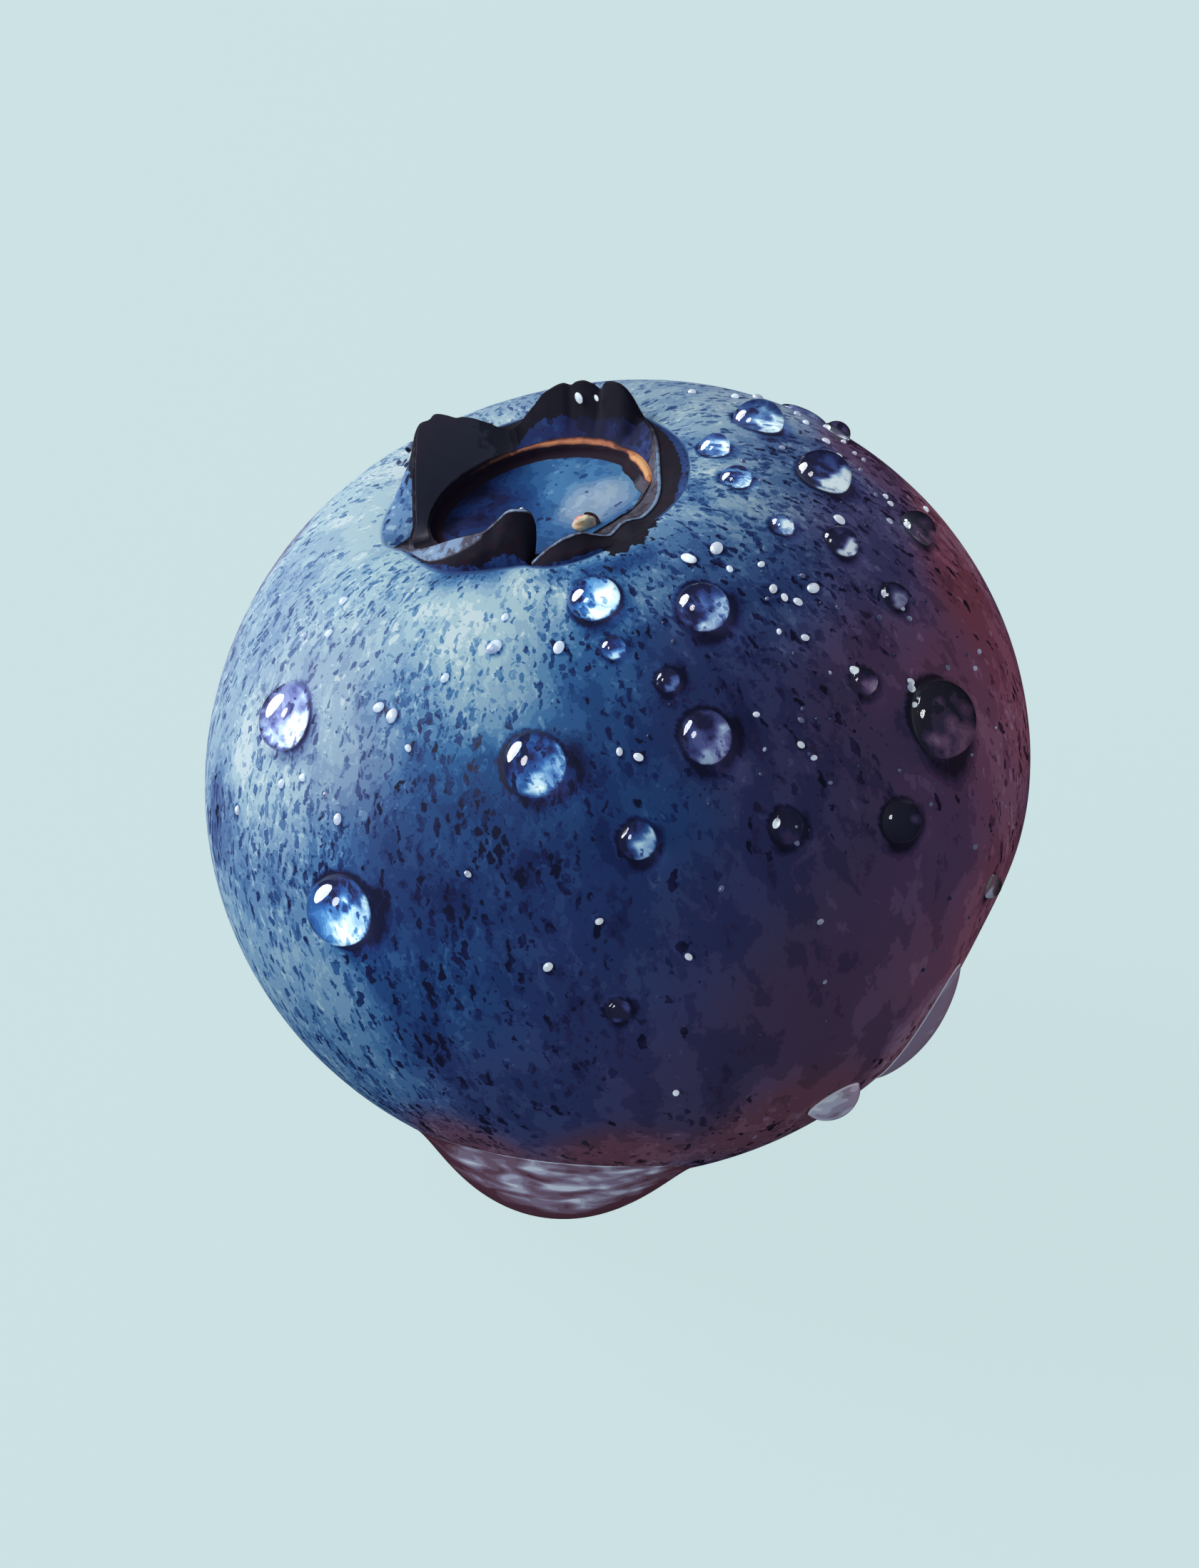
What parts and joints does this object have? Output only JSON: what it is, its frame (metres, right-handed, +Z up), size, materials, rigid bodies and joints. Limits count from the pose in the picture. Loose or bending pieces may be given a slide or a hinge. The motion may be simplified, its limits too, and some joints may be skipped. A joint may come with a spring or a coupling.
{
  "type": "blueberry",
  "caption": "Ripe blueberry with a dried crown round a shallow bowl, waxy bloom and rinsing water in beads and a hanging drop; it lies on a small flat spot.",
  "frame": {"origin": "middle of the flat spot that the berry rests on", "axes": "+Z up; -Y towards the viewer of the front; the crown leans 15 degrees from +Z, towards -X"},
  "size_m": [0.0158, 0.0167, 0.015],
  "materials": {
    "skin": "waxy bloom, glossy where it is rubbed off or wet",
    "water": "clear water"
  },
  "bodies": {
    "root": {"berry": "skin", "hanging_drop": "water", "side_drop": "water", "water_run": "water", "water_bead_01": "water", "water_bead_02": "water", "water_bead_03": "water", "water_bead_04": "water", "water_bead_05": "water", "water_bead_06": "water", "water_bead_07": "water", "water_bead_08": "water", "water_bead_09": "water", "water_bead_10": "water", "water_bead_11": "water", "water_bead_12": "water", "water_bead_13": "water", "water_bead_14": "water", "water_bead_15": "water", "water_bead_16": "water", "water_bead_17": "water", "water_bead_18": "water", "water_bead_19": "water", "water_bead_20": "water", "water_bead_21": "water", "water_bead_22": "water", "water_bead_23": "water", "water_bead_24": "water", "water_bead_25": "water", "water_bead_26": "water", "water_bead_27": "water", "water_bead_28": "water", "water_bead_29": "water", "water_bead_30": "water", "water_bead_31": "water", "water_bead_32": "water", "water_bead_33": "water", "water_bead_34": "water"}
  },
  "joints": []
}
